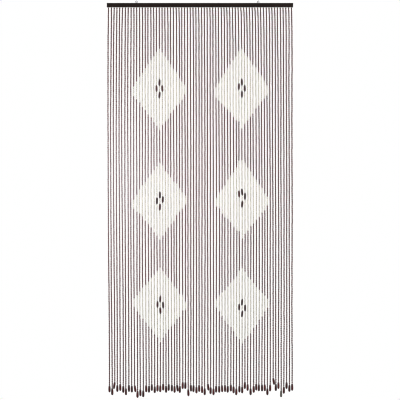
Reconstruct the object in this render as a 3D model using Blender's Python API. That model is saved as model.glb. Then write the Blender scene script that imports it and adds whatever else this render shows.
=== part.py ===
"""Bead curtain with its bar: 66 strings of wooden beads hanging from a dark wooden slat.

Units are metres, +Z is up and the front faces -Y. The origin is the middle of the bar's top edge.
Each string is a four-sided strand that keeps the string's sway, its long beads and its drop bead.
The strands are parted from one another but for their roots, which share a narrow strip below the bar.
"""

import math
import random

import bmesh
import bpy
from mathutils import Matrix

# Bar
BAR_WIDTH = 0.900
BAR_DEPTH = 0.012
BAR_HEIGHT = 0.020
BAR_EDGE_RADIUS = 0.0012

# Screw eyes, whose rings stand on the bar's top edge
EYE_POSITIONS = (-0.307, 0.282)
EYE_OUTER_DIAMETER = 0.0104
EYE_WIRE = 0.0017
EYE_NECK = 0.0008
SHANK_DIAMETER = 0.0026
SHANK_LENGTH = 0.011
SHANK_TIP_DIAMETER = 0.0016
RING_STEPS = 24
WIRE_SIDES = 8
ROD_SIDES = 12
SHARP_ANGLE = math.radians(50)

# Room left between pieces that touch
CLEARANCE = 0.0003

# Strings
STRINGS = 66
STRING_PITCH = 0.0136
STRAND_HALF = 0.0022
STRIP_HEIGHT = 0.0022
ROOT_LENGTH = 0.010
TOP_OF_STRIP = -(BAR_HEIGHT + CLEARANCE)
BOTTOM_OF_STRIP = TOP_OF_STRIP - STRIP_HEIGHT

# Slow waves that a string hangs in
WAVES = (
    # wavelength, sideways reach, front-to-back reach
    (2.60, 0.0022, 0.0006),
    (0.80, 0.0014, 0.0004),
)
SWAY_SEED = 22992
SWAY_STARTS_OVER = 0.10
BEND_SPACING = 0.150
BEND_FROM_LONG_BEAD = 0.050

# Strings that hang well out of line
HALFWAY = 0.92
LEANING_STRINGS = (
    # string, aside by halfway down, aside by its foot
    (0, -0.001, 0.006),
    (3, -0.003, -0.001),
    (11, 0.000, 0.005),
    (12, 0.001, 0.004),
    (14, 0.002, -0.003),
    (27, 0.004, 0.004),
    (37, 0.005, 0.004),
    (38, 0.003, 0.003),
    (41, -0.005, -0.004),
    (42, -0.005, -0.005),
    (45, 0.005, -0.004),
    (46, 0.003, 0.000),
    (47, -0.003, -0.004),
    (50, -0.004, 0.006),
    (52, -0.005, -0.003),
    (53, -0.003, -0.002),
    (56, 0.004, 0.001),
    (58, -0.005, -0.004),
    (60, 0.005, 0.006),
    (65, 0.004, 0.002),
)

# Drop bead at the foot of each string
DROP_LENGTH = 0.0305
DROP_KNOT = 0.002
DROP_PROFILE = (
    # share of the length from its top, half width
    (0.00, 0.0014),
    (0.30, 0.0031),
    (0.66, 0.0043),
    (0.90, 0.0031),
    (1.00, 0.0012),
)
LEANING_DROPS = (
    # string, sideways lean in degrees
    (2, -8.0),
    (9, 8.0),
    (24, 7.0),
    (35, 6.0),
    (58, 9.0),
)

# Lowest point of each string, below the bar's top
HEM_DEPTH = 1.880
HEM_SPREAD = 0.005
HEM_SEED = 77
ODD_STRINGS = (
    # string, longer than the usual hem by
    (1, 0.016),
    (2, -0.015),
    (6, 0.013),
    (10, 0.028),
    (11, 0.019),
    (12, 0.023),
    (26, -0.017),
    (27, -0.016),
    (28, 0.021),
    (34, 0.015),
    (37, 0.013),
    (45, 0.015),
    (48, -0.017),
    (50, 0.017),
    (56, 0.016),
    (58, -0.033),
    (60, -0.016),
    (61, 0.023),
    (63, -0.016),
)

# Long beads: each diamond has one above and one below its middle, and one on each neighbouring string
LONG_LENGTH = 0.0295
LONG_HALF = 0.0038
LONG_SHOULDER = 0.007
LONG_OFFSET = 0.0277
DIAMONDS = (
    # middle string, depth of the middle, left bead lower by, right bead lower by
    (18, 0.415, -0.002, -0.002),
    (47, 0.412, -0.008, 0.000),
    (18, 0.958, -0.002, -0.008),
    (47, 0.943, -0.020, -0.009),
    (18, 1.459, -0.002, 0.001),
    (47, 1.475, -0.005, -0.001),
)


def clear_scene():
    for obj in list(bpy.data.objects):
        bpy.data.objects.remove(obj, do_unlink=True)


def material(name, colour, roughness, metallic=0.0):
    finish = bpy.data.materials.new(name)
    finish.use_nodes = True
    shader = finish.node_tree.nodes["Principled BSDF"]
    shader.inputs["Base Color"].default_value = (*colour, 1.0)
    shader.inputs["Roughness"].default_value = roughness
    shader.inputs["Metallic"].default_value = metallic
    return finish


def add_object(name, form, finish=None):
    mesh = bpy.data.meshes.new(name)
    form.normal_update()
    form.to_mesh(mesh)
    form.free()
    obj = bpy.data.objects.new(name, mesh)
    bpy.context.collection.objects.link(obj)
    if finish:
        mesh.materials.append(finish)
    return obj


def combine(obj, helper, operation):
    """Cuts a helper shape out of an object, or joins it on, and hides the helper."""
    helper.location = obj.location
    helper.hide_render = True
    helper.display_type = "WIRE"
    step = obj.modifiers.new(helper.name, "BOOLEAN")
    step.operation = operation
    step.object = helper


def round_rod(top, bottom, radius, tip_radius):
    """An upright round rod with closed ends, narrowed to a tip at its bottom."""
    form = bmesh.new()
    bmesh.ops.create_cone(
        form,
        cap_ends=True,
        segments=ROD_SIDES,
        radius1=tip_radius,
        radius2=radius,
        depth=top - bottom,
        matrix=Matrix.Translation((0, 0, (top + bottom) / 2)),
    )
    return form


def make_bar(finish):
    """A slat with softened long edges and a bore for each screw eye."""
    form = bmesh.new()
    size = Matrix.Diagonal((BAR_WIDTH, BAR_DEPTH, BAR_HEIGHT, 1.0))
    bmesh.ops.create_cube(form, size=1.0, matrix=Matrix.Translation((0, 0, -BAR_HEIGHT / 2)) @ size)
    bmesh.ops.bevel(
        form, geom=form.edges[:], offset=BAR_EDGE_RADIUS, segments=2, profile=0.5, affect="EDGES"
    )
    bar = add_object("bar", form, finish)
    for number, position in enumerate(EYE_POSITIONS):
        radius = SHANK_DIAMETER / 2 + CLEARANCE
        depth = SHANK_LENGTH + CLEARANCE
        bore = add_object(f"eye_bore_{number + 1}", round_rod(depth, -depth, radius, radius))
        combine(bar, bore, "DIFFERENCE")
        bore.location.x = position
    return bar


def make_eye(number, position, finish):
    """A ring of round wire seen face on, with its neck and shank running down into the bar."""
    ring_radius = (EYE_OUTER_DIAMETER - EYE_WIRE) / 2
    ring_height = EYE_NECK + EYE_OUTER_DIAMETER / 2
    form = bmesh.new()
    rings = []
    for step in range(RING_STEPS):
        turn = 2 * math.pi * step / RING_STEPS
        ring = []
        for side in range(WIRE_SIDES):
            angle = 2 * math.pi * side / WIRE_SIDES
            reach = ring_radius + EYE_WIRE / 2 * math.cos(angle)
            across = EYE_WIRE / 2 * math.sin(angle)
            point = (reach * math.cos(turn), across, ring_height + reach * math.sin(turn))
            ring.append(form.verts.new(point))
        rings.append(ring)
    for step, ring in enumerate(rings):
        join_rings(form, rings[step - 1], ring)
    eye = add_object(f"screw_eye_{number}", form, finish)
    eye.location.x = position

    neck_top = EYE_NECK + EYE_WIRE / 2
    shank_form = round_rod(neck_top, -SHANK_LENGTH, SHANK_DIAMETER / 2, SHANK_TIP_DIAMETER / 2)
    shank = add_object(f"screw_shank_{number}", shank_form)
    combine(eye, shank, "UNION")
    for piece in (eye, shank):
        piece.data.shade_smooth()
        piece.data.set_sharp_from_angle(angle=SHARP_ANGLE)
    return eye


def join_rings(form, upper, lower):
    """Quads between two rings of the same number of points."""
    count = len(upper)
    for side in range(count):
        following = (side + 1) % count
        form.faces.new((upper[side], upper[following], lower[following], lower[side]))


def string_middle(string):
    return (string - (STRINGS - 1) / 2) * STRING_PITCH


def ease(share):
    """A slow start and a slow stop between 0 and 1."""
    share = min(max(share, 0.0), 1.0)
    return share * share * (3 - 2 * share)


def lean(string, depth):
    """How far aside a string that hangs out of line is at a depth."""
    for leaning, halfway, foot in LEANING_STRINGS:
        if leaning == string:
            lower = ease((depth - HALFWAY) / (HEM_DEPTH - HALFWAY))
            return ease(depth / HALFWAY) * halfway + lower * (foot - halfway)
    return 0.0


def sway(string, depth):
    """Sideways and front-to-back drift of a string, growing from nothing at the bar."""
    chance = random.Random(SWAY_SEED + string)
    below_bar = max(0.0, depth - BAR_HEIGHT)
    grown = 1 - math.exp(-below_bar / SWAY_STARTS_OVER)
    aside = lean(string, depth)
    forward = 0.0
    for wavelength, side_reach, front_reach in WAVES:
        strength = chance.uniform(0.3, 1.0)
        side_phase = chance.uniform(0, 2 * math.pi)
        front_phase = chance.uniform(0, 2 * math.pi)
        turn = 2 * math.pi * depth / wavelength
        aside += strength * side_reach * math.sin(turn + side_phase)
        forward += strength * front_reach * math.sin(turn + front_phase)
    return grown * aside, grown * forward


def foot_depth(string):
    """How far below the bar's top a string's drop bead ends."""
    odd = dict(ODD_STRINGS)
    if string in odd:
        return HEM_DEPTH + odd[string]
    return HEM_DEPTH + random.Random(HEM_SEED + string).gauss(0, HEM_SPREAD)


def long_beads(string):
    """Depths of the middles of a string's long beads, from the top down."""
    depths = []
    for middle, depth, left_lower, right_lower in DIAMONDS:
        if string == middle:
            depths += [depth - LONG_OFFSET, depth + LONG_OFFSET]
        elif string == middle - 1:
            depths.append(depth + left_lower)
        elif string == middle + 1:
            depths.append(depth + right_lower)
    return sorted(depths)


def strand_sections(string):
    """Depth and half width of each section of a strand from below its root to its drop bead."""
    drop_top = foot_depth(string) - DROP_LENGTH
    sections = []
    for depth in long_beads(string):
        sections += [
            (depth - LONG_LENGTH / 2, STRAND_HALF),
            (depth - LONG_LENGTH / 2 + LONG_SHOULDER, LONG_HALF),
            (depth + LONG_LENGTH / 2 - LONG_SHOULDER, LONG_HALF),
            (depth + LONG_LENGTH / 2, STRAND_HALF),
        ]
    first = -BOTTOM_OF_STRIP + ROOT_LENGTH
    bends = math.ceil((drop_top - first) / BEND_SPACING)
    for bend in range(bends):
        depth = first + (drop_top - first) * bend / bends
        if all(abs(depth - taken) > BEND_FROM_LONG_BEAD for taken, _ in sections):
            sections.append((depth, STRAND_HALF))
    sections.append((drop_top - DROP_KNOT, STRAND_HALF))
    return sorted(sections)


def drop_sections(string):
    """Depth, half width and sideways offset of each section of a string's drop bead."""
    lean = math.radians(dict(LEANING_DROPS).get(string, 0.0))
    drop_top = foot_depth(string) - DROP_LENGTH
    sections = []
    for share, half in DROP_PROFILE:
        along = share * DROP_LENGTH
        sections.append((drop_top + along, half, along * math.tan(lean)))
    return sections


def square_ring(form, x, y, z, half):
    corners = ((-1, -1), (1, -1), (1, 1), (-1, 1))
    return [form.verts.new((x + half * side, y + half * front, z)) for side, front in corners]


def make_strand(form, string, root):
    """Runs one strand down from its root's four points to the closed foot of its drop bead."""
    upper = root
    middle = string_middle(string)
    for depth, half in strand_sections(string):
        aside, forward = sway(string, depth)
        ring = square_ring(form, middle + aside, forward, -depth, half)
        join_rings(form, upper, ring)
        upper = ring
    drop_top = foot_depth(string) - DROP_LENGTH
    aside, forward = sway(string, drop_top)
    for depth, half, offset in drop_sections(string):
        ring = square_ring(form, middle + aside + offset, forward, -depth, half)
        join_rings(form, upper, ring)
        upper = ring
    form.faces.new(upper)


def make_strings(finish):
    """All strands on one narrow strip, whose underside opens into each strand's root."""
    form = bmesh.new()
    ends = (string_middle(0) - STRING_PITCH / 2, string_middle(STRINGS - 1) + STRING_PITCH / 2)
    stations = [ends[0]]
    for string in range(STRINGS):
        stations += [string_middle(string) - STRAND_HALF, string_middle(string) + STRAND_HALF]
    stations.append(ends[1])

    slices = []
    for x in stations:
        corners = (
            (x, -STRAND_HALF, TOP_OF_STRIP),
            (x, STRAND_HALF, TOP_OF_STRIP),
            (x, STRAND_HALF, BOTTOM_OF_STRIP),
            (x, -STRAND_HALF, BOTTOM_OF_STRIP),
        )
        slices.append([form.verts.new(corner) for corner in corners])

    form.faces.new(slices[0][::-1])
    form.faces.new(slices[-1])
    for number in range(len(slices) - 1):
        left, right = slices[number], slices[number + 1]
        form.faces.new((left[0], right[0], right[1], left[1]))
        form.faces.new((left[1], right[1], right[2], left[2]))
        form.faces.new((left[3], right[3], right[0], left[0]))
        if number % 2 == 0:
            form.faces.new((left[2], right[2], right[3], left[3]))

    for string in range(STRINGS):
        left, right = slices[2 * string + 1], slices[2 * string + 2]
        make_strand(form, string, [left[3], right[3], right[2], left[2]])
    bmesh.ops.recalc_face_normals(form, faces=form.faces[:])
    return add_object("bead_strings", form, finish)


def main():
    clear_scene()
    dark_wood = material("dark_stained_wood", (0.022, 0.016, 0.014), 0.45)
    bead_wood = material("brown_bead_wood", (0.061, 0.026, 0.023), 0.40)
    zinc = material("zinc_plated_wire", (0.42, 0.42, 0.43), 0.35, 1.0)
    make_bar(dark_wood)
    for number, position in enumerate(EYE_POSITIONS):
        make_eye(number + 1, position, zinc)
    make_strings(bead_wood)


main()
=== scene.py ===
# %% [markdown]
# # A wooden bead curtain, string by string
# This is the kind of curtain that hangs in a doorway: a slim dark bar, and under it many strings of
# small wooden beads that part as one walks through. Each string is threaded by hand, so no two hang
# alike. The lesson builds it in the maker's order: how the strings hang, which bead goes where, how
# a bead is turned, and how each kind of wood is finished.

# %% Load the frame
import math
import random

import bmesh
import bpy
import numpy as np
from mathutils import Matrix, Vector


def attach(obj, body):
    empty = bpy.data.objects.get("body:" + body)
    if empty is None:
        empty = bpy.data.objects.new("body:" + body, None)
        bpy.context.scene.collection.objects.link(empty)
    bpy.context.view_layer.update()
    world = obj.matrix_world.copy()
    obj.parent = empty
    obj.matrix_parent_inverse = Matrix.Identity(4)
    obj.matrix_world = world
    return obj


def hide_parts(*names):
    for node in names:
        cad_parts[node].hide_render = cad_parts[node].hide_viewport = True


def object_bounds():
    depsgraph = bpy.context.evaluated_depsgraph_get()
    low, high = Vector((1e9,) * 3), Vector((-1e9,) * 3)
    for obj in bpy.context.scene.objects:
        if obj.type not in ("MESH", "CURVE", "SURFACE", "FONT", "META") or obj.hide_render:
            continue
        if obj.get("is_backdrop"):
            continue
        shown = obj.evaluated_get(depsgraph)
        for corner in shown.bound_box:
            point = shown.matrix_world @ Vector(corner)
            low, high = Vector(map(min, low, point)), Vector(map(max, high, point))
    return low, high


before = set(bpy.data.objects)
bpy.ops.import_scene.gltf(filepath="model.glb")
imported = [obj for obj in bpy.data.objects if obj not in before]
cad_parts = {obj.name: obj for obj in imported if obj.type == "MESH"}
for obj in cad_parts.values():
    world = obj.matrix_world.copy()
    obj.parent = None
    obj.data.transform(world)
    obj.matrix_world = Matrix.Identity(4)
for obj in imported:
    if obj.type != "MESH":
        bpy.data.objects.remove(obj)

cad_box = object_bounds()
print("solids:", sorted(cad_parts))
print("box of the solids:", [[round(value, 4) for value in corner] for corner in cad_box])

# %% [markdown]
# ## The view
# The curtain is seen straight on, with no converging lines. A long lens from far away gives that, so
# the camera stands nine metres off and the lens is worked out from the width that the picture has to
# hold. A short lens close by would show the underside of the bar.

# %% Place the camera
VIEW_WIDTH = 1.934
VIEW_MIDDLE = -0.952
CAMERA_DISTANCE = 9.0
SENSOR_WIDTH = 36.0

camera_data = bpy.data.cameras.new("camera")
camera_data.sensor_width = SENSOR_WIDTH
camera_data.lens = SENSOR_WIDTH * CAMERA_DISTANCE / VIEW_WIDTH
camera = bpy.data.objects.new("camera", camera_data)
camera.location = (0.0, -CAMERA_DISTANCE, VIEW_MIDDLE)
camera.rotation_euler = (math.radians(90), 0.0, 0.0)
bpy.context.collection.objects.link(camera)
scene = bpy.context.scene
scene.camera = camera
print("lens:", round(camera_data.lens, 1), "mm")

# %% [markdown]
# ## Light and floor
# A curtain like this is shown on plain white with hardly a shadow. The camera sees a pure white room,
# while the beads are lit by a dimmer one, because dark wood in a fully white room shines grey all
# over. Soft lamps do the rest. Of the two near ones, the left one is stronger and stands level with
# the middle of the curtain, so that side is the palest and the beads under the bar are the deepest.

# %% Light the scene and lay the floor
SEEN_WHITE = 1.0
ROOM_LIGHT = 0.25
LAMPS = (
    # name, place, aimed at, size, power in watts, spread in degrees
    ("near_left_lamp", (-1.5, -2.3, -0.94), (-0.28, 0.0, -0.92), 0.9, 9.0, 80.0),
    ("near_right_lamp", (1.5, -2.3, -0.40), (0.24, 0.0, -0.66), 0.9, 5.0, 70.0),
    ("high_lamp", (-1.8, -4.2, 1.2), (0.0, 0.0, -0.95), 2.4, 84.0, 180.0),
    ("right_lamp", (2.2, -3.6, 0.3), (0.2, 0.0, -0.70), 2.0, 54.0, 150.0),
    ("back_lamp", (1.6, 4.0, 0.9), (0.0, 0.0, -0.95), 2.4, 150.0, 180.0),
)
FLOOR_DEPTH = 2.15
FLOOR_RADIUS = 1.9
FLOOR_SIDES = 64
FLOOR_COLOUR = (0.90, 0.90, 0.89, 1.0)


def white_room():
    """A world that is pure white to the camera and dimmer as a source of light."""
    world = bpy.data.worlds.new("white_room")
    world.use_nodes = True
    nodes, links = world.node_tree.nodes, world.node_tree.links
    light = nodes["Background"]
    light.inputs["Color"].default_value = (1.0, 1.0, 1.0, 1.0)
    light.inputs["Strength"].default_value = ROOM_LIGHT
    seen = nodes.new("ShaderNodeBackground")
    seen.inputs["Color"].default_value = (1.0, 1.0, 1.0, 1.0)
    seen.inputs["Strength"].default_value = SEEN_WHITE
    ray = nodes.new("ShaderNodeLightPath")
    choice = nodes.new("ShaderNodeMixShader")
    links.new(ray.outputs["Is Camera Ray"], choice.inputs[0])
    links.new(light.outputs[0], choice.inputs[1])
    links.new(seen.outputs[0], choice.inputs[2])
    links.new(choice.outputs[0], nodes["World Output"].inputs["Surface"])
    return world


def soft_lamp(name, place, aim, size, power, spread):
    """A square soft lamp that the camera itself doesn't see."""
    data = bpy.data.lights.new(name, "AREA")
    data.size = size
    data.energy = power
    data.spread = math.radians(spread)
    lamp = bpy.data.objects.new(name, data)
    lamp.location = place
    lamp.rotation_euler = (Vector(aim) - Vector(place)).to_track_quat("-Z", "Y").to_euler()
    lamp.visible_camera = False
    bpy.context.collection.objects.link(lamp)


def new_object(name, mesh, finish):
    """An object of a mesh, linked to the scene with its finish."""
    obj = bpy.data.objects.new(name, mesh)
    bpy.context.collection.objects.link(obj)
    mesh.materials.append(finish)
    return obj


def plain_finish(name, colour, roughness):
    finish = bpy.data.materials.new(name)
    finish.use_nodes = True
    shader = finish.node_tree.nodes["Principled BSDF"]
    shader.inputs["Base Color"].default_value = colour
    shader.inputs["Roughness"].default_value = roughness
    return finish


def lay_floor():
    turns = [2 * math.pi * side / FLOOR_SIDES for side in range(FLOOR_SIDES)]
    rim = [(FLOOR_RADIUS * math.cos(t), FLOOR_RADIUS * math.sin(t), -FLOOR_DEPTH) for t in turns]
    mesh = bpy.data.meshes.new("floor")
    mesh.from_pydata(rim, [], [list(range(FLOOR_SIDES))])
    new_object("floor", mesh, plain_finish("pale_floor", FLOOR_COLOUR, 0.9))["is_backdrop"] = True


scene.world = white_room()
for lamp in LAMPS:
    soft_lamp(*lamp)
lay_floor()
print(len(LAMPS), "lamps, and a floor", FLOOR_DEPTH, "m below the bar's top")

# %% [markdown]
# ## Keeping thin strings dark
# A string of beads is hardly wider than one point of a small picture. Light averages over the point,
# so the white behind a string makes it far paler than it looks to the eye. Two settings put that
# right: a tone curve that holds the half-covered points down and leaves black, deep brown and
# white where they are, and a narrow pixel filter, which keeps neighbouring strings apart.

# %% Set the tone curve
TONE_CURVE = ((0.10, 0.08), (0.25, 0.15), (0.50, 0.32), (0.75, 0.60))
PIXEL_FILTER = 1.1

scene.view_settings.view_transform = "Standard"
scene.view_settings.use_curve_mapping = True
curve_mapping = scene.view_settings.curve_mapping
for seen, shown in TONE_CURVE:
    curve_mapping.curves[3].points.new(seen, shown)
curve_mapping.update()
scene.cycles.filter_width = PIXEL_FILTER
print("tone curve points:", len(curve_mapping.curves[3].points))

# %% [markdown]
# ## How the strings hang
# A string of light beads never hangs dead straight. It keeps a slow curve from top to foot, and on
# that sit the small kinks of the cord. Both are sums of sine waves whose phase differs from
# string to string. Neighbours also hang aside together, which keeps them evenly apart. Here the
# strings right of the middle hang a little to the right and those near the left side bow outwards,
# so a few soft drifts are added up, each strongest at one string and depth and fading around it.

# %% Slow waves and shared drifts
STRINGS = 66
STRING_PITCH = 0.0136
BAR_HEIGHT = 0.020
HEM_DEPTH = 1.880
SWAY_SEED = 22992
SWAY_STARTS_OVER = 0.045
SLOW_WAVES = (
    # wavelength, sideways reach, front-to-back reach
    (2.60, 0.0011, 0.0006),
    (0.80, 0.0005, 0.0004),
)
SHARED_DRIFTS = (
    # middle string, strings it fades over, middle depth, depth it fades over, aside
    (51, 16, 1.35, 1.30, 0.0080),
    (22, 10, 1.35, 1.30, 0.0030),
    (4, 5, 0.60, 0.55, -0.0045),
    (14, 12, 1.90, 0.50, 0.0040),
    (0, 2, 1.90, 0.50, 0.0030),
)
DEPTH_STEP = 0.004
LOWEST_DEPTH = 1.93
DEPTHS = np.arange(BAR_HEIGHT, LOWEST_DEPTH, DEPTH_STEP)


def string_middle(string):
    return (string - (STRINGS - 1) / 2) * STRING_PITCH


def ease(share):
    """A slow start and a slow stop between 0 and 1."""
    share = np.clip(share, 0.0, 1.0)
    return share * share * (3 - 2 * share)


def drift(waves, seed, depths):
    """Sideways and front-to-back drift of one string, as a sum of waves."""
    chance = random.Random(seed)
    aside = np.zeros(len(depths))
    forward = np.zeros(len(depths))
    for wavelength, side_reach, front_reach in waves:
        strength = chance.uniform(0.3, 1.0)
        side_phase = chance.uniform(0, 2 * math.pi)
        front_phase = chance.uniform(0, 2 * math.pi)
        turn = 2 * math.pi * depths / wavelength
        aside += strength * side_reach * np.sin(turn + side_phase)
        forward += strength * front_reach * np.sin(turn + front_phase)
    return aside, forward


def shared_drift(string, depths):
    """How far aside a string hangs together with its neighbours."""
    total = np.zeros(len(depths))
    for middle, over_strings, middle_depth, over_depth, reach_aside in SHARED_DRIFTS:
        across = (string - middle) / over_strings
        down = (depths - middle_depth) / over_depth
        total += reach_aside * np.exp(-across ** 2 - down ** 2)
    return total


grown = 1 - np.exp(-(DEPTHS - BAR_HEIGHT) / SWAY_STARTS_OVER)
aside = np.zeros((STRINGS, len(DEPTHS)))
forward = np.zeros((STRINGS, len(DEPTHS)))
for string in range(STRINGS):
    side, front = drift(SLOW_WAVES, SWAY_SEED + string, DEPTHS)
    side += shared_drift(string, DEPTHS)
    aside[string] = string_middle(string) + grown * side
    forward[string] = grown * front
print("closest strings:", round(float(np.diff(aside, axis=0).min()) * 1000, 1), "mm between middles")

# %% [markdown]
# ## Where each string ends
# The drop beads make an uneven hem, because cord stretches and knots land where they like. Most
# strings end within a centimetre of one another, and a few are clearly longer or shorter. Those few
# are listed, and the rest are drawn from a bell curve with a fixed seed.

# %% Foot of each string
HEM_SPREAD = 0.005
HEM_SEED = 77
DROP_LENGTH = 0.0335
ODD_STRINGS = (
    # longer than the usual hem by, strings
    (0.015, (1, 6, 34, 37, 45, 50, 56)),
    (0.020, (11, 28)),
    (0.025, (12, 61)),
    (0.028, (10,)),
    (-0.015, (2, 26, 27, 48, 60, 63)),
    (-0.035, (58,)),
)


def foot_depth(string):
    """How far below the bar's top a string's drop bead ends."""
    for longer, strings in ODD_STRINGS:
        if string in strings:
            return HEM_DEPTH + longer
    return HEM_DEPTH + random.Random(HEM_SEED + string).gauss(0, HEM_SPREAD)


feet = np.array([foot_depth(string) for string in range(STRINGS)])
drop_tops = feet - DROP_LENGTH
print("feet between", round(feet.min(), 3), "and", round(feet.max(), 3), "m below the bar's top")

# %% [markdown]
# ## The pattern, counted in beads
# Every string has 199 places. Three rows of diamonds lie 57 places apart, two diamonds to a row. The
# string through a diamond's middle carries 41 light places, and each string further out has four
# fewer. In the middle sit four long dark beads, each in the place of three small ones. The strings
# hang a little high or low against each other, which leaves the edges of the diamonds ragged.

# %% Chart of the diamonds
PLACES = 199
DIAMOND_REACH = 9
LIGHT_PLACES = 41
FEWER_PER_STRING = 4
LONG_PLACES = 3
LONG_STEP = 3
ROW_PLACES = (39.5, 96.5, 153.5)
DIAMONDS = (
    # name, row, middle string, depth, then lower by: left long bead, right one, left corner, right corner
    ("top_left", 0, 18, 0.415, -0.002, -0.002, 0.008, 0.012),
    ("top_right", 0, 47, 0.412, -0.008, 0.000, 0.018, 0.009),
    ("middle_left", 1, 18, 0.958, -0.002, -0.008, 0.011, -0.008),
    ("middle_right", 1, 47, 0.943, -0.020, -0.009, 0.021, 0.014),
    ("bottom_left", 2, 18, 1.459, -0.002, 0.001, -0.009, -0.002),
    ("bottom_right", 2, 47, 1.475, -0.005, -0.001, -0.029, -0.025),
)
TOP_EDGES_LOWER_BY = (0.010, 0.010, 0.0)  # one value for each row of diamonds
BOTTOM_EDGES_LOWER_BY = (0.003, 0.005, 0.001)
LEVEL_SPREAD = 0.0035
LEVEL_SEED = 5150


def row_depth(string, row):
    """How deep a string's middle place of a row of diamonds hangs."""
    stations = []
    levels = []
    for _, diamond_row, middle, depth, left, right, left_corner, right_corner in DIAMONDS:
        if diamond_row == row:
            stations += [middle - DIAMOND_REACH, middle - 2, middle - 1, middle]
            stations += [middle + 1, middle + 2, middle + DIAMOND_REACH]
            levels += [depth + left_corner, depth, depth + left, depth]
            levels += [depth + right, depth, depth + right_corner]
            if abs(string - middle) <= 1:
                return levels[stations.index(string)]
    level = np.interp(string, stations, levels)
    return level + random.Random(LEVEL_SEED + 7 * string + row).gauss(0, LEVEL_SPREAD)


def kinds_on(string):
    """The kind of bead that starts in each of a string's places."""
    kinds = ["dark"] * PLACES
    for name, row, middle, *_ in DIAMONDS:
        across = abs(string - middle)
        if across > DIAMOND_REACH:
            continue
        centre = ROW_PLACES[row]
        half = (LIGHT_PLACES - FEWER_PER_STRING * across) / 2
        for place in range(PLACES):
            if abs(place + 0.5 - centre) < half:
                kinds[place] = name
        long_middles = {0: (centre - LONG_STEP, centre + LONG_STEP), 1: (centre,)}.get(across, ())
        for long_middle in long_middles:
            start = int(long_middle - LONG_PLACES / 2)
            kinds[start:start + LONG_PLACES] = ["long"] + ["taken"] * (LONG_PLACES - 1)
    return kinds


chart = [kinds_on(string) for string in range(STRINGS)]
for name in ("dark", "long", *(diamond[0] for diamond in DIAMONDS)):
    print(name, "beads:", sum(kinds.count(name) for kinds in chart))

# %% [markdown]
# ## Threading the beads
# Beads of one batch differ a little in length, and they share whatever length of cord lies between
# two rows of diamonds. So each small bead gets a share near one, a long bead keeps its own length,
# and the shares are stretched until each row sits at its depth. The light beads above the middle of
# a diamond run a little short, which pulls its top edge down. The places by the long beads stay.

# %% Thread the beads
FIRST_BEAD_DEPTH = BAR_HEIGHT + 0.0015
DROP_KNOT = 0.001
LONG_LENGTH = 0.0300
LONG_GAP = 0.0004
LENGTH_SPREAD = 0.05
SHORTEST_SHARE = 0.8
STILL_PLACES = 4.5
THREADING_SEED = 640


def pulled(borders):
    """How much lower each border between places sits because of the uneven light beads."""
    stations = [0.0]
    pulls = [0.0]
    for middle, top, bottom in zip(ROW_PLACES, TOP_EDGES_LOWER_BY, BOTTOM_EDGES_LOWER_BY):
        for away in (-LIGHT_PLACES / 2, -STILL_PLACES, STILL_PLACES, LIGHT_PLACES / 2):
            stations.append(middle + away)
        pulls += [top, 0.0, 0.0, bottom]
    return np.interp(borders, [*stations, PLACES], [*pulls, 0.0])


def thread_places(string):
    """Depths of the borders between a string's places."""
    chance = random.Random(THREADING_SEED + string)
    shares = np.array([max(SHORTEST_SHARE, chance.gauss(1, LENGTH_SPREAD)) for _ in range(PLACES)])
    fixed = np.zeros(PLACES)
    for place, kind in enumerate(chart[string]):
        if kind in ("long", "taken"):
            shares[place] = 0.0
            fixed[place] = (LONG_LENGTH + LONG_GAP) / LONG_PLACES
    borders = np.arange(PLACES + 1)
    share_sum = np.concatenate([[0.0], np.cumsum(shares)])
    fixed_sum = np.concatenate([[0.0], np.cumsum(fixed)])
    anchors = [0.0, *ROW_PLACES, float(PLACES)]
    rows = [row_depth(string, row) for row in range(len(ROW_PLACES))]
    levels = [FIRST_BEAD_DEPTH, *rows, drop_tops[string] - DROP_KNOT]
    depths = np.zeros(PLACES + 1)
    for number in range(len(anchors) - 1):
        ends = anchors[number:number + 2]
        share_ends = np.interp(ends, borders, share_sum)
        fixed_ends = np.interp(ends, borders, fixed_sum)
        spare = levels[number + 1] - levels[number] - (fixed_ends[1] - fixed_ends[0])
        size = spare / (share_ends[1] - share_ends[0])
        inside = (borders >= ends[0]) & (borders <= ends[1])
        along = fixed_sum[inside] - fixed_ends[0] + size * (share_sum[inside] - share_ends[0])
        depths[inside] = levels[number] + along
    return depths + pulled(borders)


threaded = {}
for string in range(STRINGS):
    borders = thread_places(string)
    for place, kind in enumerate(chart[string]):
        if kind != "taken":
            width = LONG_PLACES if kind == "long" else 1
            bead = (string, borders[place], borders[place + width])
            threaded.setdefault(kind, []).append(bead)
small_lengths = [bottom - top for _, top, bottom in threaded["dark"]]
print("small beads are", round(float(np.mean(small_lengths)) * 1000, 2), "mm long on average")

# %% [markdown]
# ## Kinks, and room between neighbours
# Short waves add the kinks of the cord. They could push two strings into each other, so each string
# may use only half of the room to its neighbour, and a soft limit, tanh, flattens any wave that would
# go further. After that, strings that still touch lean apart, as beads do when they rest against one
# another. The reach of a string is the radius of its widest bead nearby.

# %% Add the kinks and part the strings
FINE_WAVES = (
    # wavelength, sideways reach, front-to-back reach
    (0.36, 0.00020, 0.00030),
    (0.18, 0.00020, 0.00025),
    (0.09, 0.00020, 0.00020),
    (0.046, 0.00015, 0.00015),
)
FINE_SEED = 9100
STRAIGHTENS_OVER = 0.12
SMALL_REACH = 0.0031
LONG_REACH = 0.0047
DROP_REACH = 0.0052
REACH_EASES_OVER = 0.05
PARTING_ROUNDS = 40

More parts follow.
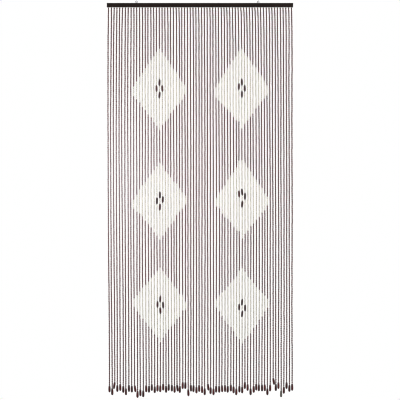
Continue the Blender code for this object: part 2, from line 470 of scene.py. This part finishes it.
reach = np.full((STRINGS, len(DEPTHS)), SMALL_REACH)
for string in range(STRINGS):
    near_drop = ease(1 - (drop_tops[string] - DEPTHS) / REACH_EASES_OVER)
    reach[string] += (DROP_REACH - SMALL_REACH) * near_drop
for string, top, bottom in threaded["long"]:
    from_middle = np.abs(DEPTHS - (top + bottom) / 2) - LONG_LENGTH / 2
    near_long = ease(1 - from_middle / REACH_EASES_OVER)
    reach[string] = np.maximum(reach[string], SMALL_REACH + (LONG_REACH - SMALL_REACH) * near_long)
below_foot = DEPTHS[None, :] > feet[:, None] + DEPTH_STEP
needed = reach[:-1] + reach[1:]
needed[below_foot[:-1] | below_foot[1:]] = 0.0

gaps = np.diff(aside, axis=0) - needed
edge_gap = np.full((1, len(DEPTHS)), STRING_PITCH / 2)
room_left = np.maximum(np.vstack([edge_gap, gaps]) / 2, 1e-5)
room_right = np.maximum(np.vstack([gaps, edge_gap]) / 2, 1e-5)
for string in range(STRINGS):
    side, front = drift(FINE_WAVES, FINE_SEED + string, DEPTHS)
    loose = grown * ease((drop_tops[string] - DEPTHS) / STRAIGHTENS_OVER)
    limit = np.where(side > 0, room_right[string], room_left[string])
    aside[string] += limit * np.tanh(side * loose / limit)
    forward[string] += front * loose
for _ in range(PARTING_ROUNDS):
    push = np.minimum(np.diff(aside, axis=0) - needed, 0.0) / 2
    aside[:-1] += push
    aside[1:] -= push
print("closest strings now:", round(float((np.diff(aside, axis=0) - needed).min()) * 1000, 2), "mm apart")


def on_string(string, depths):
    """Points on a string at the depths below the bar's top."""
    x = np.interp(depths, DEPTHS, aside[string])
    y = np.interp(depths, DEPTHS, forward[string])
    return np.stack([x, y, -np.asarray(depths, float)], axis=-1)


# %% [markdown]
# ## A turned bead
# Beads are turned on a lathe, so one outline spun round an axis gives each kind: a small oval, a long
# spindle and a drop. The outline is a short list of stations from one end to the other. Thousands of
# copies have to fit in one model, so a small bead has just seven sides and smooth shading rounds it.

# %% Spin an outline into a bead
SMALL_OUTLINE = (
    # place between the ends, share of the radius
    (-1.00, 0.46),
    (-0.66, 0.88),
    (0.00, 1.00),
    (0.66, 0.88),
    (1.00, 0.46),
)
LONG_OUTLINE = (
    (-1.00, 0.36),
    (-0.96, 0.56),
    (-0.86, 0.78),
    (-0.64, 0.95),
    (-0.30, 1.00),
    (0.30, 1.00),
    (0.64, 0.95),
    (0.86, 0.78),
    (0.96, 0.56),
    (1.00, 0.36),
)
DROP_OUTLINE = (
    (-1.00, 0.24),
    (-0.96, 0.50),
    (-0.86, 0.77),
    (-0.68, 0.94),
    (-0.40, 1.00),
    (0.00, 0.98),
    (0.36, 0.92),
    (0.68, 0.80),
    (0.90, 0.62),
    (1.00, 0.40),
)
SMALL_SIDES = 7
LARGE_SIDES = 16


def turned_bead(outline, sides):
    """Points, face corners, face starts, flat map and painted bore shade of a bead."""
    last_ring = len(outline) - 1
    turns = 2 * math.pi * np.arange(sides) / sides
    points = []
    for along, share in outline:
        points += [(share * math.cos(turn), share * math.sin(turn), along) for turn in turns]
    # The end rings get painted shade, which stands in for the shadow in the bore.
    bore_shade = np.zeros((len(outline), sides))
    bore_shade[[0, last_ring]] = 1.0
    corners = []
    starts = []
    flat = []
    for ring in range(last_ring):
        for side in range(sides):
            following = (side + 1) % sides
            low, high = ring * sides, (ring + 1) * sides
            starts.append(len(corners))
            corners += [low + side, low + following, high + following, high + side]
            left, right = side / sides, (side + 1) / sides
            bottom, top = ring / last_ring, (ring + 1) / last_ring
            flat += [(left, bottom), (right, bottom), (right, top), (left, top)]
    for ring, order in ((0, reversed(range(sides))), (last_ring, range(sides))):
        starts.append(len(corners))
        for side in order:
            corners.append(ring * sides + side)
            flat.append((side / sides, ring / last_ring))
    return np.array(points), np.array(corners), np.array(starts), np.array(flat), bore_shade.ravel()


SMALL_BEAD = turned_bead(SMALL_OUTLINE, SMALL_SIDES)
LONG_BEAD = turned_bead(LONG_OUTLINE, LARGE_SIDES)
DROP_BEAD = turned_bead(DROP_OUTLINE, LARGE_SIDES)
for label, form in (("small", SMALL_BEAD), ("long", LONG_BEAD), ("drop", DROP_BEAD)):
    print(label, "bead:", len(form[0]), "points,", len(form[2]), "faces")

# %% [markdown]
# ## One mesh for many beads
# Thirteen thousand objects would choke any file, so the beads of one part of the curtain share a
# mesh. Numpy sets all copies at once: a bead has a middle, an axis, a turn about it, a radius and
# half a length. Two numbers travel with each point for the finish: the tone of its bead, which also
# carries the painted light, and whether it lies at the rim of the bore, where shade is painted. Each
# bead also has its own small square of the flat map.

# %% Join beads into one mesh
MAP_MARGIN = 0.06


def unit(vectors):
    return vectors / np.linalg.norm(vectors, axis=-1, keepdims=True)


def mesh_of(name, points, corners, starts, flat):
    """A smooth mesh from arrays, with its flat map."""
    mesh = bpy.data.meshes.new(name)
    mesh.vertices.add(len(points))
    mesh.vertices.foreach_set("co", points.ravel())
    mesh.loops.add(len(corners))
    mesh.loops.foreach_set("vertex_index", corners)
    mesh.polygons.add(len(starts))
    mesh.polygons.foreach_set("loop_start", starts)
    mesh.update(calc_edges=True)
    mesh.validate()
    mesh.uv_layers.new(name="OFBake").data.foreach_set("uv", flat.ravel())
    mesh.shade_smooth()
    return mesh


def add_piece(name, mesh, finish, node):
    """An object that stands in for a solid of the frame."""
    piece = new_object(name, mesh, finish)
    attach(piece, "root")
    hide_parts(node)
    return piece


def joined_beads(name, form, middles, axes, turns, radii, halves, tones):
    """One mesh that holds a copy of the bead form at each place."""
    points, corners, starts, flat, bore_shade = form
    count = len(middles)
    up = unit(axes)
    right = unit(np.cross(np.array([0.0, 1.0, 0.0]), up))
    front = np.cross(up, right)
    first = right * np.cos(turns)[:, None] + front * np.sin(turns)[:, None]
    second = np.cross(up, first)
    placed = middles[:, None, :] + halves[:, None, None] * points[None, :, 2:3] * up[:, None, :]
    for number, direction in enumerate((first, second)):
        spread = radii[:, None, None] * points[None, :, number:number + 1]
        placed = placed + spread * direction[:, None, :]
    order = np.arange(count)[:, None]
    columns = math.ceil(math.sqrt(count))
    cell = np.stack([np.arange(count) % columns, np.arange(count) // columns], axis=-1)
    inner = MAP_MARGIN + (1 - 2 * MAP_MARGIN) * flat
    mesh = mesh_of(
        name,
        placed.reshape(-1, 3),
        (corners[None, :] + order * len(points)).ravel(),
        (starts[None, :] + order * len(corners)).ravel(),
        (cell[:, None, :] + inner[None, :, :]) / columns,
    )
    for label, values in (("tone", np.repeat(tones, len(points))), ("bore_shade", np.tile(bore_shade, count))):
        mesh.attributes.new(label, "FLOAT", "POINT").data.foreach_set("value", values)
    return mesh


def triangles(piece):
    return sum(face.loop_total - 2 for face in piece.data.polygons)


# %% [markdown]
# ## Stained bead wood
# Small beads are tumbled in stain, so each one takes it a little differently: some nearly black, some
# showing red-brown wood. The tone of a bead picks a colour between those, and the palest end of the
# ramp is painted light. A noise stretched along the string draws the grain, and the rim of the bore
# is painted dark as shade. A thin lacquer gives the highlight. All of it is worked out from the
# surface itself, so it looks the same from any side.

# %% Finish for turned beads
def mixed(nodes, links, kind, factor, first, second):
    """A colour mix of two sockets or plain colours."""
    mix = nodes.new("ShaderNodeMix")
    mix.data_type = "RGBA"
    mix.blend_type = kind
    for socket, value in ((mix.inputs[0], factor), (mix.inputs[6], first), (mix.inputs[7], second)):
        if isinstance(value, bpy.types.NodeSocket):
            links.new(value, socket)
        elif isinstance(value, tuple):
            socket.default_value = (*value, 1.0)
        else:
            socket.default_value = value
    return mix.outputs[2]


def ramp(nodes, links, source, *stops):
    """A colour ramp whose stops are given as (place, colour)."""
    node = nodes.new("ShaderNodeValToRGB")
    while len(node.color_ramp.elements) < len(stops):
        node.color_ramp.elements.new(0.5)
    for element, (place, colour) in zip(node.color_ramp.elements, stops):
        element.position = place
        element.color = (*colour, 1.0)
    links.new(source, node.inputs[0])
    return node.outputs[0]


def shade(nodes, links, source, low, high):
    """A grey ramp that darkens or lightens what it is multiplied with."""
    return ramp(nodes, links, source, (0.32, (low,) * 3), (0.68, (high,) * 3))


def streaks(nodes, links, stretch, detail):
    """Noise in the object's own space, stretched by three scales."""
    place = nodes.new("ShaderNodeTexCoord")
    scale = nodes.new("ShaderNodeMapping")
    scale.inputs["Scale"].default_value = stretch
    noise = nodes.new("ShaderNodeTexNoise")
    noise.inputs["Scale"].default_value = 1.0
    noise.inputs["Detail"].default_value = detail
    noise.inputs["Roughness"].default_value = 0.6
    links.new(place.outputs["Object"], scale.inputs["Vector"])
    links.new(scale.outputs["Vector"], noise.inputs["Vector"])
    return noise.outputs[0]


def span(nodes, links, source, low, high):
    """Maps a value from 0..1 to low..high."""
    node = nodes.new("ShaderNodeMapRange")
    node.inputs["To Min"].default_value = low
    node.inputs["To Max"].default_value = high
    links.new(source, node.inputs["Value"])
    return node.outputs[0]


def relief(nodes, links, source, depth, strength):
    """A bump of a given depth in metres."""
    node = nodes.new("ShaderNodeBump")
    node.inputs["Strength"].default_value = strength
    node.inputs["Distance"].default_value = depth
    links.new(source, node.inputs["Height"])
    return node.outputs[0]


def carried(nodes, label):
    """A number that the mesh carries at each point."""
    node = nodes.new("ShaderNodeAttribute")
    node.attribute_name = label
    return node.outputs["Fac"]


def new_finish(name, specular):
    finish = bpy.data.materials.new(name)
    finish.use_nodes = True
    nodes, links = finish.node_tree.nodes, finish.node_tree.links
    nodes["Principled BSDF"].inputs["Specular IOR Level"].default_value = specular
    return finish, nodes, links, nodes["Principled BSDF"]


def bead_wood(name, tones, bore_shade_colour, grain_depth, roughness, lacquer):
    """Turned wood whose colour follows the bead's tone, with grain along the string."""
    finish, nodes, links, shader = new_finish(name, 0.2)
    grain = streaks(nodes, links, (1100.0, 1100.0, 110.0), 3.0)
    patches = streaks(nodes, links, (160.0, 160.0, 70.0), 2.0)
    base = ramp(nodes, links, carried(nodes, "tone"), *tones)
    grained = mixed(nodes, links, "MULTIPLY", grain_depth, base, shade(nodes, links, grain, 0.42, 1.25))
    clouded = mixed(nodes, links, "MULTIPLY", 0.5, grained, shade(nodes, links, patches, 0.80, 1.15))
    # Painted shade: the bore colour darkens the rim of the bore.
    coloured = mixed(nodes, links, "MIX", carried(nodes, "bore_shade"), clouded, bore_shade_colour)
    links.new(coloured, shader.inputs["Base Color"])
    links.new(span(nodes, links, grain, *roughness), shader.inputs["Roughness"])
    links.new(relief(nodes, links, grain, 0.0002, 0.25), shader.inputs["Normal"])
    shader.inputs["Coat Weight"].default_value = lacquer
    shader.inputs["Coat Roughness"].default_value = 0.25
    return finish


DARK_WOOD = bead_wood(
    "dark_stained_bead_wood",
    (
        (0.0, (0.036, 0.004, 0.004)),
        (0.4, (0.112, 0.011, 0.010)),
        (0.7, (0.165, 0.038, 0.037)),
        # Tones near one come only from painted light, so this pale grey is painted light on the dark beads.
        (1.0, (0.370, 0.280, 0.290)),
    ),
    # bore colour, painted shade in the hole
    (0.010, 0.005, 0.004),
    0.6,
    (0.34, 0.55),
    0.08,
)
LIGHT_WOOD = bead_wood(
    "light_bead_wood",
    # Tones above 0.72 come only from painted light, which pales the light beads further.
    ((0.0, (0.57, 0.545, 0.485)), (0.4, (0.625, 0.605, 0.545)), (1.0, (0.67, 0.645, 0.585))),
    # bore colour, painted shade in the hole
    (0.10, 0.06, 0.04),
    0.35,
    (0.38, 0.60),
    0.08,
)
print("finishes:", DARK_WOOD.name, LIGHT_WOOD.name)

# %% [markdown]
# ## Small beads on the strings
# The dark beads are made in six parts, eleven strings to each, so that no mesh grows too heavy. The
# light beads go by diamond. A bore is wider than the cord, so each bead sits a little off and askew,
# turned about its string by chance. Painted light pales the small beads towards the left side: their
# tone is raised towards the palest in a pool left of the middle.

# %% Set the small beads
SMALL_SIZE = (0.00274, 0.035, 0.965)  # radius, its spread, share of the place that is filled
TOP_THICKER = 1.04
FOOT_THINNER = 0.98
OFF_STRING = 0.00012
ASKEW = math.radians(3.0)
STRINGS_PER_PART = 11
BEAD_SEED = 2718
SMALL_STAIN_AND_LIGHT = (0.40, 0.86)  # tone, and how far painted light pales it
TONE_SPREAD = 0.15
DEEPEST_TO_PALEST = (0.0, 0.72)
# Painted light: where the pool of paler tone is centred, and how far it spreads.
PAINTED_LIGHT_AT = (-0.42, -0.82)
PAINTED_LIGHT_OVER = (0.46, 0.66)


def painted_light_pool(points):
    """How much painted light each place on the curtain gets, from 0 to 1."""
    aside_share = (points[:, 0] - PAINTED_LIGHT_AT[0]) / PAINTED_LIGHT_OVER[0]
    down_share = (points[:, 2] - PAINTED_LIGHT_AT[1]) / PAINTED_LIGHT_OVER[1]
    return np.exp(-aside_share ** 2 - down_share ** 2)


def bead_tones(chance, stain_and_light, points):
    """A tone for each bead: chance, and nearer to one where painted light pales it."""
    tone, painted_light_strength = stain_and_light
    tones = (tone + TONE_SPREAD * chance.standard_normal(len(points))).clip(*DEEPEST_TO_PALEST)
    # Painted light: the tone is raised towards one, the palest colour of the ramp.
    return tones + painted_light_strength * painted_light_pool(points) * (1 - tones)


def set_beads(name, form, beads, radius, spread, fill, stain_and_light, seed):
    """A mesh of beads, given as (string, top depth, bottom depth)."""
    chance = np.random.default_rng(seed)
    count = len(beads)
    tops = np.array([on_string(string, top) for string, top, _ in beads])
    bottoms = np.array([on_string(string, bottom) for string, _, bottom in beads])
    lengths = np.linalg.norm(tops - bottoms, axis=1)
    off = chance.normal(0, OFF_STRING, (count, 3)) * (1.0, 1.0, 0.0)
    tilt = chance.normal(0, ASKEW, (count, 3)) * (1.0, 1.0, 0.0) * lengths[:, None]
    down = -tops[:, 2] / HEM_DEPTH
    taper = TOP_THICKER + (FOOT_THINNER - TOP_THICKER) * down
    radii = radius * taper * (1 + spread * chance.standard_normal(count).clip(-2, 2))
    turns = chance.uniform(0, 2 * math.pi, count)
    middles = (tops + bottoms) / 2 + off
    axes = tops - bottoms + tilt
    tones = bead_tones(chance, stain_and_light, middles)
    return joined_beads(name, form, middles, axes, turns, radii, lengths / 2 * fill, tones)


pieces = []
for part in range(STRINGS // STRINGS_PER_PART):
    members = range(part * STRINGS_PER_PART, (part + 1) * STRINGS_PER_PART)
    beads = [bead for bead in threaded["dark"] if bead[0] in members]
    name = f"dark_beads_{part + 1}"
    mesh = set_beads(name, SMALL_BEAD, beads, *SMALL_SIZE, SMALL_STAIN_AND_LIGHT, BEAD_SEED + part)
    pieces.append(add_piece(name, mesh, DARK_WOOD, "bead_strings"))
for number, (diamond, *_) in enumerate(DIAMONDS):
    name = f"light_beads_{diamond}"
    beads = threaded[diamond]
    mesh = set_beads(name, SMALL_BEAD, beads, *SMALL_SIZE, SMALL_STAIN_AND_LIGHT, BEAD_SEED + 50 + number)
    pieces.append(add_piece(name, mesh, LIGHT_WOOD, "bead_strings"))
for piece in pieces:
    print(piece.name, triangles(piece), "triangles")

# %% [markdown]
# ## Long beads and drop beads
# The long bead is a spindle three small beads long. The drop bead is thickest in its lower third, so
# that its weight keeps the string straight. Some drops hang a little askew, because their bore is
# wider than the cord, and one of them took hardly any stain.

# %% Set the long beads and the drop beads
LONG_SIZE = (0.0044, 0.02, LONG_LENGTH / (LONG_LENGTH + LONG_GAP))
LONG_STAIN = (0.0, 0.0)
DROP_RADIUS = 0.0051
DROP_ASKEW = 1.2
LEANING_DROPS = (
    # string, sideways lean in degrees
    (2, -8.0),
    (9, 8.0),
    (24, 7.0),
    (35, 6.0),
    (58, 9.0),
)
PALE_DROP = 61
DROP_STAIN = (0.08, 0.0)


def hang_drops():
    """A mesh of the drop beads at the foot of the strings, without the pale one."""
    chance = np.random.default_rng(BEAD_SEED + 80)
    leans = dict(LEANING_DROPS)
    middles = []
    axes = []
    for string in range(STRINGS):
        askew = leans.get(string, chance.normal(0, DROP_ASKEW))
        axis = np.array([-math.tan(math.radians(askew)), 0.0, 1.0])
        middles.append(on_string(string, drop_tops[string]) - axis * DROP_LENGTH / 2)
        axes.append(axis)
    tones = bead_tones(chance, DROP_STAIN, np.array(middles))
    radii = DROP_RADIUS * (1 + 0.02 * chance.standard_normal(STRINGS).clip(-2, 1.5))
    turns = chance.uniform(0, 2 * math.pi, STRINGS)
    halves = np.full(STRINGS, DROP_LENGTH / 2)
    stained = np.arange(STRINGS) != PALE_DROP
    parts = [np.array(middles), np.array(axes), turns, radii, halves, tones]
    dark = joined_beads("drop_beads", DROP_BEAD, *(part[stained] for part in parts))
    pale = joined_beads("pale_drop_bead", DROP_BEAD, *(part[~stained] for part in parts))
    return dark, pale


PALE_WOOD = bead_wood(
    "pale_drop_wood",
    ((0.0, (0.16, 0.15, 0.12)), (0.5, (0.24, 0.235, 0.18)), (1.0, (0.34, 0.32, 0.26))),
    # bore colour, painted shade in the hole
    (0.05, 0.04, 0.03),
    0.5,
    (0.40, 0.60),
    0.08,
)
long_mesh = set_beads("long_beads", LONG_BEAD, threaded["long"], *LONG_SIZE, LONG_STAIN, BEAD_SEED + 70)
drop_mesh, pale_mesh = hang_drops()
for mesh, finish in ((long_mesh, DARK_WOOD), (drop_mesh, DARK_WOOD), (pale_mesh, PALE_WOOD)):
    pieces.append(add_piece(mesh.name, mesh, finish, "bead_strings"))
    print(mesh.name, triangles(pieces[-1]), "triangles")

# %% [markdown]
# ## The cord
# Hardly any cord shows: a few tenths of a millimetre between two beads, and a short stretch under
# the bar. Still it is there from end to end, and it holds the beads together for the eye as it does
# for the hand. It is a thin three-sided tube that follows the same points as the beads, and its shade
# runs in the short slants of the twist.

# %% Run the cords
CORD_RADIUS = 0.00045
CORD_SIDES = 3
CORD_STEP = 0.016
INTO_BAR = 0.007
INTO_DROP = 0.002


def run_cords():
    points = []
    corners = []
    flat = []
    turns = 2 * math.pi * np.arange(CORD_SIDES) / CORD_SIDES
    around = CORD_RADIUS * np.stack([np.cos(turns), np.sin(turns), np.zeros(CORD_SIDES)], axis=-1)
    for string in range(STRINGS):
        bottom = drop_tops[string] + INTO_DROP
        steps = int((bottom - BAR_HEIGHT) / CORD_STEP)
        depths = np.concatenate([[BAR_HEIGHT - INTO_BAR], np.linspace(BAR_HEIGHT, bottom, steps)])
        path = on_string(string, depths)
        first = len(points) * CORD_SIDES
        points += list(path[:, None, :] + around[None, :, :])
        for step in range(steps):
            high, low = first + step * CORD_SIDES, first + (step + 1) * CORD_SIDES
            top, base = step / (steps + 1), (step + 1) / (steps + 1)
            for side in range(CORD_SIDES):
                following = (side + 1) % CORD_SIDES
                corners += [low + side, low + following, high + following, high + side]
                left = (string + side / (CORD_SIDES + 1)) / STRINGS
                right = (string + (side + 1) / (CORD_SIDES + 1)) / STRINGS
                flat += [(left, base), (right, base), (right, top), (left, top)]
    starts = np.arange(0, len(corners), 4)
    return mesh_of("cords", np.concatenate(points), np.array(corners), starts, np.array(flat))


def twisted_cord():
    """Brown cord with the slanted shade of its twist."""
    finish, nodes, links, shader = new_finish("twisted_cord", 0.2)
    twist = streaks(nodes, links, (900.0, 900.0, 1500.0), 1.0)
    colour = ramp(nodes, links, twist, (0.35, (0.035, 0.022, 0.016)), (0.65, (0.10, 0.065, 0.048)))
    links.new(colour, shader.inputs["Base Color"])
    links.new(relief(nodes, links, twist, 0.0001, 0.3), shader.inputs["Normal"])
    shader.inputs["Roughness"].default_value = 0.85
    return finish


cords = add_piece("cords", run_cords(), twisted_cord(), "bead_strings")
pieces.append(cords)
print(cords.name, triangles(cords), "triangles")

# %% [markdown]
# ## The bar
# The bar is a planed slat of softwood, stained almost black. Its long edges are softened with a
# plane, two bores in the top hold the screw eyes, and a row of small holes in the underside takes
# the cords. Each hole widens at its mouth, where the drill broke out a little wood. The holes are cut
# with one joined cutter, which is much quicker than sixty-six single cuts.

# %% Shape the bar
BAR_WIDTH = 0.900
BAR_DEPTH = 0.012
BAR_EDGE_RADIUS = 0.0012
EDGE_STEPS = 4
EYE_POSITIONS = (-0.307, 0.282)
EYE_BORE = (0.0016, 0.0016, 0.0113)
CORD_HOLE = (0.0016, 0.0010, 0.0090)
MOUTH_DEPTH = 0.0007
HOLE_SIDES = 14
CUTTER_OUTSIDE = 0.001


def add_cutter(form, x, level, inward, mouth, radius, depth):
    """A round cutter with a widened mouth, which goes inward from a level."""
    stations = (
        (-CUTTER_OUTSIDE, mouth),
        (0.0, mouth),
        (MOUTH_DEPTH, radius),
        (depth, radius),
    )
    rings = []
    for along, reach_out in stations:
        ring = []
        for side in range(HOLE_SIDES):
            turn = 2 * math.pi * side / HOLE_SIDES
            place = (x + reach_out * math.cos(turn), reach_out * math.sin(turn), level + inward * along)
            ring.append(form.verts.new(place))
        rings.append(ring)
    for upper, lower in zip(rings, rings[1:]):
        for side in range(HOLE_SIDES):
            following = (side + 1) % HOLE_SIDES
            form.faces.new((upper[side], upper[following], lower[following], lower[side])).smooth = True
    form.faces.new(rings[0])
    form.faces.new(rings[-1])


def shape_bar(finish):
    """A slat with softened edges, bores for the screw eyes and holes for the cords."""
    slat = bmesh.new()
    size = Matrix.Diagonal((BAR_WIDTH, BAR_DEPTH, BAR_HEIGHT, 1.0))
    bmesh.ops.create_cube(slat, size=1.0, matrix=Matrix.Translation((0, 0, -BAR_HEIGHT / 2)) @ size)
    softened = bmesh.ops.bevel(
        slat, geom=slat.edges[:], offset=BAR_EDGE_RADIUS, segments=EDGE_STEPS, profile=0.5, affect="EDGES"
    )
    for face in softened["faces"]:
        face.smooth = True
    slat_mesh = bpy.data.meshes.new("slat")
    slat.to_mesh(slat_mesh)

    drill = bmesh.new()
    for string in range(STRINGS):
        add_cutter(drill, string_middle(string), -BAR_HEIGHT, 1.0, *CORD_HOLE)
    for position in EYE_POSITIONS:
        add_cutter(drill, position, 0.0, -1.0, *EYE_BORE)
    bmesh.ops.recalc_face_normals(drill, faces=drill.faces)
    drill_mesh = bpy.data.meshes.new("drill")
    drill.to_mesh(drill_mesh)

    slat_object = new_object("slat", slat_mesh, finish)
    drill_object = new_object("drill", drill_mesh, finish)
    cut = slat_object.modifiers.new("drilled", "BOOLEAN")
    cut.operation = "DIFFERENCE"
    cut.solver = "EXACT"
    cut.object = drill_object
    evaluated = slat_object.evaluated_get(bpy.context.evaluated_depsgraph_get())
    drilled = bpy.data.meshes.new_from_object(evaluated)
    for helper in (slat_object, drill_object):
        bpy.data.objects.remove(helper)
    drilled.name = "drilled_bar"
    drilled.materials.clear()
    return drilled


# %% [markdown]
# ## Finish of the bar
# Long streaks of grain run from end to end and still show through the stain. The edges
# are rubbed a little lighter where hands take hold of the bar. How near a point is to an edge is
# worked out from its place in the bar's section, and noise breaks the line up.

# %% Finish the bar
RUBBED_COLOUR = (0.038, 0.024, 0.018)


def worked(nodes, links, operation, first, second=0.0):
    """A sum on two numbers or sockets."""
    node = nodes.new("ShaderNodeMath")
    node.operation = operation
    for socket, value in zip(node.inputs, (first, second)):
        if isinstance(value, bpy.types.NodeSocket):
            links.new(value, socket)
        else:
            socket.default_value = value
    return node.outputs[0]


def near_edge(nodes, links):
    """One near the long edges of the bar and nothing elsewhere."""
    place = nodes.new("ShaderNodeTexCoord")
    split = nodes.new("ShaderNodeSeparateXYZ")
    links.new(place.outputs["Object"], split.inputs[0])
    across = worked(nodes, links, "ABSOLUTE", split.outputs["Y"])
    centred = worked(nodes, links, "ADD", split.outputs["Z"], BAR_HEIGHT / 2)
    upright = worked(nodes, links, "ABSOLUTE", centred)
    from_front = worked(nodes, links, "SUBTRACT", BAR_DEPTH / 2, across)
    from_top = worked(nodes, links, "SUBTRACT", BAR_HEIGHT / 2, upright)
    total = worked(nodes, links, "ADD", from_front, from_top)
    closeness = nodes.new("ShaderNodeMapRange")
    closeness.inputs["From Min"].default_value = 0.0022
    closeness.inputs["From Max"].default_value = 0.0006
    links.new(total, closeness.inputs["Value"])
    return closeness.outputs[0]


def stained_slat():
    """Near-black stain over long grain, with rubbed edges."""
    finish, nodes, links, shader = new_finish("black_brown_slat", 0.08)
    grain = streaks(nodes, links, (7.0, 420.0, 420.0), 4.0)
    patches = streaks(nodes, links, (9.0, 30.0, 30.0), 2.0)
    rub = streaks(nodes, links, (60.0, 200.0, 200.0), 3.0)
    base = ramp(nodes, links, grain, (0.35, (0.0044, 0.0021, 0.0014)), (0.70, (0.0145, 0.0078, 0.0053)))
    clouded = mixed(nodes, links, "MULTIPLY", 0.6, base, shade(nodes, links, patches, 0.75, 1.2))
    rubbed = worked(nodes, links, "MULTIPLY", near_edge(nodes, links), span(nodes, links, rub, -0.5, 1.3))
    held = worked(nodes, links, "MAXIMUM", rubbed, 0.0)
    coloured = mixed(nodes, links, "MIX", held, clouded, RUBBED_COLOUR)
    links.new(coloured, shader.inputs["Base Color"])
    links.new(span(nodes, links, grain, 0.42, 0.62), shader.inputs["Roughness"])
    links.new(relief(nodes, links, grain, 0.0003, 0.3), shader.inputs["Normal"])
    return finish


slat_finish = stained_slat()
bar = add_piece("slat_bar", shape_bar(slat_finish), slat_finish, "bar")
pieces.append(bar)
print("bar:", triangles(bar), "triangles")

# %% [markdown]
# ## Screw eyes
# A screw eye is one length of wire. It is bent round into a ring, and the end of the ring turns down
# into the shank, which is screwed into the bar. So it is drawn as one path: nearly a full circle from
# the free end, a short bend, then the shank, which is thicker because of its thread and ends in
# a tip.

# %% Bend the screw eyes
EYE_WIRE = 0.0020
EYE_OUTER_DIAMETER = 0.0104
EYE_NECK = 0.0008
SHANK_RADIUS = 0.0013
SHANK_TIP_RADIUS = 0.0006
SHANK_LENGTH = 0.0108
FREE_END = math.radians(-58)
BEND_START = math.radians(236)
RING_STEPS = 54
BEND_STEPS = 10
WIRE_SIDES = 14
SHANK_STATIONS = (
    # depth in the bar, radius
    (0.0004, EYE_WIRE / 2),
    (0.0010, SHANK_RADIUS),
    (SHANK_LENGTH - 0.003, SHANK_RADIUS),
    (SHANK_LENGTH, SHANK_TIP_RADIUS),
)


def eye_path():
    """Points in the plane of the ring, with the radius of the wire at each."""
    ring_radius = (EYE_OUTER_DIAMETER - EYE_WIRE) / 2
    middle = EYE_NECK + EYE_OUTER_DIAMETER / 2
    turns = np.linspace(FREE_END, BEND_START, RING_STEPS)
    ring = np.stack([ring_radius * np.cos(turns), middle + ring_radius * np.sin(turns)], axis=-1)
    start = ring[-1]
    heading = np.array([-math.sin(BEND_START), math.cos(BEND_START)])
    pull = ring_radius * 0.42
    ends = (start, start + heading * pull, np.array([0.0, pull]), np.array([0.0, 0.0]))
    bend = []
    for share in np.linspace(0, 1, BEND_STEPS + 1)[1:]:
        weights = ((1 - share) ** 3, 3 * share * (1 - share) ** 2, 3 * share ** 2 * (1 - share), share ** 3)
        bend.append(sum(weight * end for weight, end in zip(weights, ends)))
    shank = [(0.0, -depth) for depth, _ in SHANK_STATIONS]
    path = np.vstack([ring, bend, shank])
    radii = np.full(len(path), EYE_WIRE / 2)
    radii[-len(SHANK_STATIONS):] = [radius for _, radius in SHANK_STATIONS]
    radii[0] *= 0.75
    return path, radii


def bend_eye(name, position):
    path, radii = eye_path()
    along = unit(np.gradient(path, axis=0))
    out = np.stack([along[:, 1], -along[:, 0]], axis=-1)
    turns = 2 * math.pi * np.arange(WIRE_SIDES) / WIRE_SIDES
    points = []
    for (x, z), (out_x, out_z), radius in zip(path, out, radii):
        for turn in turns:
            reach_out = radius * math.cos(turn)
            place = (position + x + reach_out * out_x, radius * math.sin(turn), z + reach_out * out_z)
            points.append(place)
    faces = []
    for station in range(len(path) - 1):
        near, far = station * WIRE_SIDES, (station + 1) * WIRE_SIDES
        for side in range(WIRE_SIDES):
            following = (side + 1) % WIRE_SIDES
            faces.append((near + side, near + following, far + following, far + side))
    faces.append(tuple(reversed(range(WIRE_SIDES))))
    faces.append(tuple(range(len(points) - WIRE_SIDES, len(points))))
    mesh = bpy.data.meshes.new(name)
    mesh.from_pydata(points, [], faces)
    mesh.shade_smooth()
    return mesh


def plated_wire():
    """Zinc plate, with a faint cloud of dull patches."""
    finish, nodes, links, shader = new_finish("zinc_plate", 0.5)
    clouds = streaks(nodes, links, (700.0, 700.0, 700.0), 3.0)
    colour = ramp(nodes, links, clouds, (0.3, (0.16, 0.16, 0.165)), (0.7, (0.28, 0.28, 0.285)))
    links.new(colour, shader.inputs["Base Color"])
    links.new(span(nodes, links, clouds, 0.38, 0.6), shader.inputs["Roughness"])
    shader.inputs["Metallic"].default_value = 1.0
    return finish


zinc = plated_wire()
for number, position in enumerate(EYE_POSITIONS):
    name = f"bent_eye_{number + 1}"
    eye = add_piece(name, bend_eye(name, position), zinc, f"screw_eye_{number + 1}")
    pieces.append(eye)
    print(name, triangles(eye), "triangles")

# %% [markdown]
# ## Sizes
# The solids and the dressed curtain have to be the same size, or anything fitted to one would miss
# the other. So both boxes are printed one after the other.

# %% Print the sizes and the triangle count
visual_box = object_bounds()
boxes = {"cad": cad_box, "visual": visual_box}
sizes = {label: [[float(value) for value in corner] for corner in box] for label, box in boxes.items()}
for label, box in sizes.items():
    print(label, [[round(value, 4) for value in corner] for corner in box])
print("triangles in all:", sum(triangles(piece) for piece in pieces))
